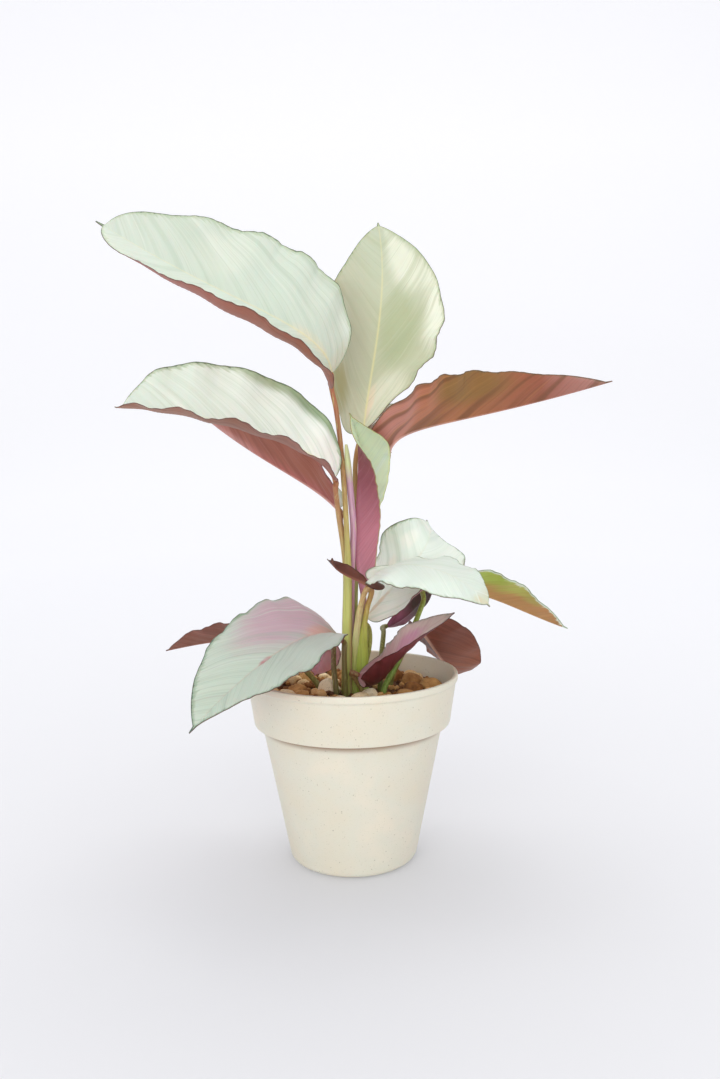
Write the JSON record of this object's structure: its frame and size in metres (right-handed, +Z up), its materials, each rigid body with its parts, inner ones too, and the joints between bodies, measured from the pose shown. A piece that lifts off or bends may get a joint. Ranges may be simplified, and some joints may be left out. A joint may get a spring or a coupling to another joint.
{
  "type": "potted silver plate calathea",
  "caption": "Small potted prayer plant with broad silver leaf blades, wine-red backs and upright leaf stalks, in a round tapered plastic nursery pot filled with stony potting mix.",
  "frame": {"origin": "middle of the pot's flat base", "axes": "+Z up along the pot's axis, -Y toward the viewer of the plant's front, +X to the viewer's right"},
  "size_m": [0.2416, 0.1126, 0.307],
  "materials": {
    "pot_plastic": "satin",
    "potting_mix": "matte",
    "silver_leaf": "satin",
    "wine_leaf": "satin",
    "pink_leaf": "satin",
    "green_stalk": "satin",
    "red_stalk": "satin"
  },
  "bodies": {
    "root": {"pot": "pot_plastic", "potting_mix": "potting_mix", "blade_upper_left": "silver_leaf", "stalk_upper_left": "red_stalk", "blade_upright": "silver_leaf", "stalk_upright": "green_stalk", "blade_right": "wine_leaf", "stalk_right": "red_stalk", "blade_middle_left": "silver_leaf", "stalk_middle_left": "red_stalk", "blade_under_left": "wine_leaf", "stalk_under_left": "red_stalk", "blade_rolled_young": "pink_leaf", "stalk_rolled_young": "green_stalk", "blade_curled_small": "silver_leaf", "stalk_curled_small": "red_stalk", "blade_front": "silver_leaf", "stalk_front": "red_stalk", "blade_behind_front": "silver_leaf", "stalk_behind_front": "green_stalk", "blade_low_right": "wine_leaf", "stalk_low_right": "green_stalk", "blade_plum": "pink_leaf", "stalk_plum": "green_stalk", "blade_rim": "wine_leaf", "stalk_rim": "red_stalk", "blade_dark_back": "wine_leaf", "stalk_dark_back": "green_stalk", "blade_lower_left": "silver_leaf", "stalk_lower_left": "red_stalk", "blade_lower_back": "wine_leaf", "stalk_lower_back": "green_stalk", "blade_small_pink": "pink_leaf", "stalk_small_pink": "green_stalk", "new_leaf_spear": "pink_leaf"}
  },
  "joints": []
}
